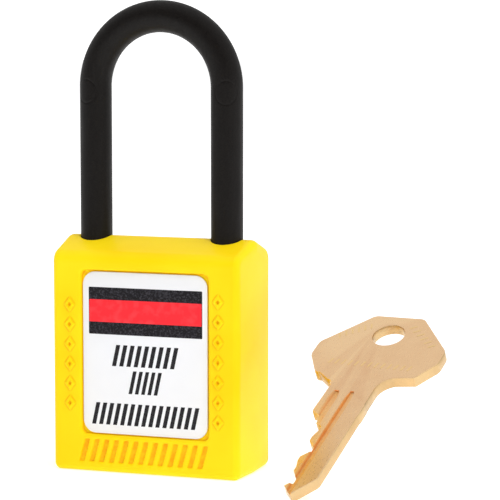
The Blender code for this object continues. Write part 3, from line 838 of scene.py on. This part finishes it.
def make_shackle(finishes):
    heel_leg = ARCH_Z - HEEL_END
    arch = math.pi * LEG_X
    length = heel_leg + arch + ARCH_Z - TOE_END
    turns = np.linspace(0, 2 * math.pi, 128, endpoint=False)
    rings = []
    for distance in shackle_steps(length):
        angle = min(max((distance - heel_leg) / LEG_X, 0.0), math.pi)
        outward = Vector((-math.cos(angle), 0.0, math.sin(angle)))
        centre = Vector((0.0, 0.0, ARCH_Z)) + outward * LEG_X
        if distance < heel_leg:
            centre.z = HEEL_END + distance
        if distance > heel_leg + arch:
            centre.z = TOE_END + length - distance
        radius = shackle_radius(distance, length)
        ring = []
        for turn in turns:
            around = ((turn - WITNESS_TURN + math.pi) % (2 * math.pi) - math.pi) * SHACKLE_RADIUS
            groove = 0.0
            for witness in (WITNESS_HEIGHT - HEEL_END, length - (WITNESS_HEIGHT - TOE_END)):
                off = abs(math.hypot(around, distance - witness) - WITNESS_RADIUS)
                groove += WITNESS_DEPTH * max(0.0, 1 - (off / WITNESS_GROOVE) ** 2)
            direction = outward * math.cos(turn) + Vector((0.0, math.sin(turn), 0.0))
            ring.append(centre + direction * (radius - groove))
        rings.append(ring)
    shackle = tidy(mesh_object("shackle_loop", *loft(rings), [finishes["shackle_black"]]), 60)

    bolt_low, bolt_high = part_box("locking_bolt_right")
    bolt_z = (bolt_low.z + bolt_high.z) / 2
    for side in (-1, 1):
        inside = side * (LEG_X - SHACKLE_RADIUS)
        deep, wide = inside + side * NOTCH_DEPTH, inside - side * MM
        slope = abs(deep - wide)
        notch = [(deep, bolt_z - NOTCH_HALF), (deep, bolt_z + NOTCH_HALF),
                 (wide, bolt_z + NOTCH_HALF + slope), (wide, bolt_z - NOTCH_HALF - slope)]
        carve(shackle, prism("notch", notch, -NOTCH_REACH, NOTCH_REACH, "Y"))
    tidy(shackle, 60)
    place(shackle, "shackle_bow", "shackle_black", "shackle")


# ---------------------------------------------------------------- key

def key_outline():
    """Bow, neck and cut blade, counter-clockwise from the back of the blade's tip."""
    back, left, tip, neck = 3.9 * MM, -5.2 * MM, -47.1 * MM, -15.8 * MM
    side, side_top, side_bottom = 13.1 * MM, -3.0 * MM, -6.8 * MM
    top, top_half, shoulder = 5.85 * MM, 4.3 * MM, -24.3 * MM
    lobe_x, lobe_y = 10.2 * MM, -12.2 * MM
    outline = [(0.7 * MM, tip), (back - 0.3 * MM, tip + 4.2 * MM), (back, tip + 4.8 * MM),
               (back, shoulder)]
    outline += [(back + 0.12 * MM, shoulder + 0.3 * MM), (back + 0.12 * MM, neck - 5.4 * MM),
                (back, neck - 5.0 * MM)]
    outline += arc((back + BACK_FILLET, neck - 0.6 * MM), BACK_FILLET, 180, 115, 10)
    outline += [(lobe_x, lobe_y)]
    round_x, round_top = side - BOW_SIDE_RADIUS, side_top - 1.4 * MM
    outline += arc((round_x, side_bottom), BOW_SIDE_RADIUS, -40, 0, 6)
    outline += arc((round_x, round_top), BOW_SIDE_RADIUS, 0, 48, 7)
    outline += arc((top_half, top - BOW_TOP_RADIUS), BOW_TOP_RADIUS, 48, 90, 6)
    outline += arc((-top_half, top - BOW_TOP_RADIUS), BOW_TOP_RADIUS, 90, 132, 6)
    outline += arc((-round_x, round_top), BOW_SIDE_RADIUS, 132, 180, 7)
    outline += arc((-round_x, side_bottom), BOW_SIDE_RADIUS, 180, 220, 6)
    outline += arc((-lobe_x + 1.0 * MM, lobe_y + 0.6 * MM), BOW_LOBE_RADIUS, 215, 280, 7)
    outline += arc((left - CUT_FILLET, neck - 0.4 * MM), CUT_FILLET, 80, 0, 8)
    outline += [(left - 0.2 * MM, shoulder + 0.6 * MM), (left, shoulder),
                (-3.7 * MM, shoulder - 0.3 * MM), (-3.4 * MM, FIRST_CUT + 2.0 * MM)]
    for number, edge in enumerate(CUT_EDGES):
        middle = FIRST_CUT - number * PIN_PITCH
        outline += [(edge, middle + CUT_LAND), (edge, middle - CUT_LAND)]
    outline += [(-1.5 * MM, tip + 2.1 * MM)]
    return outline


def milled(cutter):
    """Let a cutter leave the milled metal, the key's second material, on what it cuts."""
    for polygon in cutter.data.polygons:
        polygon.material_index = 1
    return cutter


def shade_key_walls(key):
    """Give the walls of the outline and the ring hole the key's third material, a darker copy of its
    metal that paints shade on them.
    """
    for polygon in key.data.polygons:
        if abs(polygon.normal.z) < 0.5:
            polygon.material_index = 2


def milled_groove(name, path):
    """Channel cutter lofted through (x, y, half width, depth) stations with sloping walls."""
    rings = []
    for x, y, half, depth in path:
        top, floor = half * GROOVE_FLARE, half * GROOVE_FLOOR
        rings.append([(x - half, y, 0.0), (x - top, y, GROOVE_RISE), (x + top, y, GROOVE_RISE),
                      (x + half, y, 0.0), (x + floor, y, -depth), (x - floor, y, -depth)])
    return milled(mesh_object(name, *loft(rings)))


def groove_path(x, half, begin, start, end, steps=8):
    """Groove stations from begin to start at full depth, then fading out as a round cutter does."""
    stations = [(x, begin, half, GROOVE_DEPTH)]
    thin_width, thin_depth = THINNEST_RUN_OUT
    for t in np.linspace(0, 1, steps + 1)[:-1]:
        left = math.sqrt(1 - t ** 2)
        y = start + (end - start) * t
        stations.append((x, y, half * max(left, thin_width), GROOVE_DEPTH * max(left, thin_depth)))
    return stations


def make_key(finishes):
    materials = [finishes["key_metal"], finishes["key_groove"], finishes["key_edge"]]
    key = prism("key_blank", key_outline(), -KEY_THICKNESS, 0.0, "Z", materials)
    tidy(key, 30)
    key.name = "loose_key"
    hole = circle((0.0, 0.0), KEY_HOLE_RADIUS, 72)
    carve(key, prism("ring_hole", hole, -KEY_THICKNESS - MM, MM, "Z"))
    tidy(key, 30)
    shade_key_walls(key)
    bevel = key.modifiers.new("edge", "BEVEL")
    bevel.width = KEY_BEVEL
    bevel.segments = 2
    bevel.limit_method = "ANGLE"
    bevel.angle_limit = math.radians(60)
    bevel.use_clamp_overlap = True
    apply_modifiers(key)
    tidy(key, 30)

    carve(key, milled_groove("long_groove", groove_path(*LONG_GROOVE)))
    carve(key, milled_groove("short_groove", groove_path(*SHORT_GROOVE)))
    tidy(key, 30)
    for polygon in key.data.polygons:
        polygon.use_smooth = abs(polygon.normal.z) < 0.999
    place_key_piece(key)
    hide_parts("key")
    place_key_piece(key_marks(finishes["key_groove"]))


def key_marks(material):
    """Plain slanted ticks in rows on the bow, pressed through the face by a hair."""
    width, height = KEY_MARK_SIZE
    parts = []
    for (x0, y0), (x1, y1), count in KEY_MARK_ROWS:
        along = Vector((x1 - x0, y1 - y0)).normalized()
        slanted = Vector((-along.y, along.x)) + along * BAR_SLANT
        for t in np.linspace(0, 1, count):
            centre = Vector((x0 + (x1 - x0) * t, y0 + (y1 - y0) * t))
            corners = [centre + along * (a * width / 2) + slanted * (b * height / 2)
                       for a, b in ((-1, -1), (1, -1), (1, 1), (-1, 1))]
            parts.append(loft([[(x, y, z) for x, y in corners] for z in (-2 * INK, INK)]))
    return tidy(joined("key_marks", parts, [material]))


def place_key_piece(obj):
    turn = Matrix.Rotation(KEY_YAW, 4, "Z") @ Matrix.Rotation(KEY_PITCH, 4, "X")
    obj.matrix_world = Matrix.Translation(KEY_PLACE) @ turn
    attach(obj, "loose_key")


# ---------------------------------------------------------------- carried-over nodes

def finish_frame_nodes(finishes):
    """Give every CAD node the finish of its slot in the record."""
    for part in frame["record"]["subparts"]:
        node = frame["nodes"][part["node"]]
        node.data.materials.clear()
        node.data.materials.append(finishes[part["material_slot"]])


# ---------------------------------------------------------------- studio

def make_camera():
    back = Vector((math.sin(AZIMUTH) * math.cos(ELEVATION), -math.cos(AZIMUTH) * math.cos(ELEVATION),
                   math.sin(ELEVATION)))
    right = Vector((math.cos(AZIMUTH), math.sin(AZIMUTH), 0.0))
    up = back.cross(right)
    aim = LOCK + Vector((0.0, 0.0, HEIGHT / 2)) + right * CAMERA_AIM[0] + up * CAMERA_AIM[1]
    data = bpy.data.cameras.new("camera")
    data.lens = LENS
    data.sensor_width = 36.0
    data.clip_start = 0.01
    camera = bpy.data.objects.new("camera", data)
    camera.matrix_world = Matrix.Translation(aim + back * CAMERA_DISTANCE) @ \
        Matrix((right, up, back)).transposed().to_4x4()
    bpy.context.scene.collection.objects.link(camera)
    bpy.context.scene.camera = camera


def area_light(name, azimuth, elevation, distance, size, power, glossy=True):
    """Soft light aimed at the object from a direction given as in the camera's convention."""
    a, e = math.radians(azimuth), math.radians(elevation)
    back = Vector((math.sin(a) * math.cos(e), -math.cos(a) * math.cos(e), math.sin(e)))
    target = (cad_low + cad_high) / 2
    data = bpy.data.lights.new(name, "AREA")
    data.shape = "DISK"
    data.size = size
    data.energy = power
    light = bpy.data.objects.new(name, data)
    light.location = target + back * distance
    light.rotation_euler = (-back).to_track_quat("-Z", "Y").to_euler()
    light.visible_camera = False
    light.visible_glossy = glossy
    bpy.context.scene.collection.objects.link(light)


def make_floor():
    corners = [(-FLOOR_HALF, -FLOOR_HALF, 0), (FLOOR_HALF, -FLOOR_HALF, 0),
               (FLOOR_HALF, FLOOR_HALF, 0), (-FLOOR_HALF, FLOOR_HALF, 0)]
    floor = mesh_object("studio_floor", corners, [(0, 1, 2, 3)])
    finish = Finish("studio_floor", (0.92, 0.92, 0.92, 1.0), 0.9, specular=0.0)
    finish.set("Emission Color", (1.0, 1.0, 1.0, 1.0))
    finish.set("Emission Strength", 0.45)
    finish.bump((finish.noise(2 * MM), 0.01 * MM))
    floor.data.materials.append(finish.material)


def make_dome():
    """White backdrop that only the camera sees."""
    bpy.ops.mesh.primitive_uv_sphere_add(segments=48, ring_count=24, radius=DOME_RADIUS)
    dome = bpy.context.object
    dome.name = "studio_dome"
    paper = Finish("studio_dome", (1.0, 1.0, 1.0, 1.0), 1.0, specular=0.0)
    paper.set("Emission Color", (1.0, 1.0, 1.0, 1.0))
    paper.set("Emission Strength", 1.0)
    dome.data.materials.append(paper.material)
    for flag in ("visible_diffuse", "visible_glossy", "visible_transmission", "visible_shadow",
                 "visible_volume_scatter"):
        setattr(dome, flag, False)


def make_tent():
    """World light that is bright at the back and dark towards the front."""
    world = bpy.data.worlds.new("studio")
    world.use_nodes = True
    nodes, links = world.node_tree.nodes, world.node_tree.links
    direction = nodes.new("ShaderNodeTexCoord").outputs["Generated"]
    towards_front = nodes.new("ShaderNodeVectorMath")
    towards_front.operation = "DOT_PRODUCT"
    towards_front.inputs[1].default_value = (0.0, -1.0, 0.0)
    links.new(direction, towards_front.inputs[0])
    strength = nodes.new("ShaderNodeMapRange")
    strength.interpolation_type = "SMOOTHSTEP"
    strength.inputs["From Min"].default_value = 0.2
    strength.inputs["From Max"].default_value = 0.8
    strength.inputs["To Min"].default_value = TENT_BRIGHT
    strength.inputs["To Max"].default_value = TENT_DARK
    links.new(towards_front.outputs["Value"], strength.inputs["Value"])
    background = nodes["Background"]
    background.inputs["Color"].default_value = (1.0, 1.0, 1.0, 1.0)
    links.new(strength.outputs["Result"], background.inputs["Strength"])
    bpy.context.scene.world = world


def make_studio():
    make_floor()
    make_dome()
    make_tent()
    bpy.context.scene.view_settings.view_transform = "Standard"
    area_light("front_fill", -20, 15, 1.6, 1.2, 3.0, glossy=False)
    area_light("right_key", 55, 42, 1.5, 0.5, 7.5, glossy=False)
    area_light("top_soft", 20, 80, 1.4, 1.2, 6.0, glossy=False)


def main():
    finishes = make_finishes()
    finish_frame_nodes(finishes)
    make_body(finishes)
    make_slot_shades(finishes)
    make_base_cover(finishes)
    make_labels(finishes)
    make_shackle(finishes)
    make_key(finishes)
    make_camera()
    make_studio()


main()
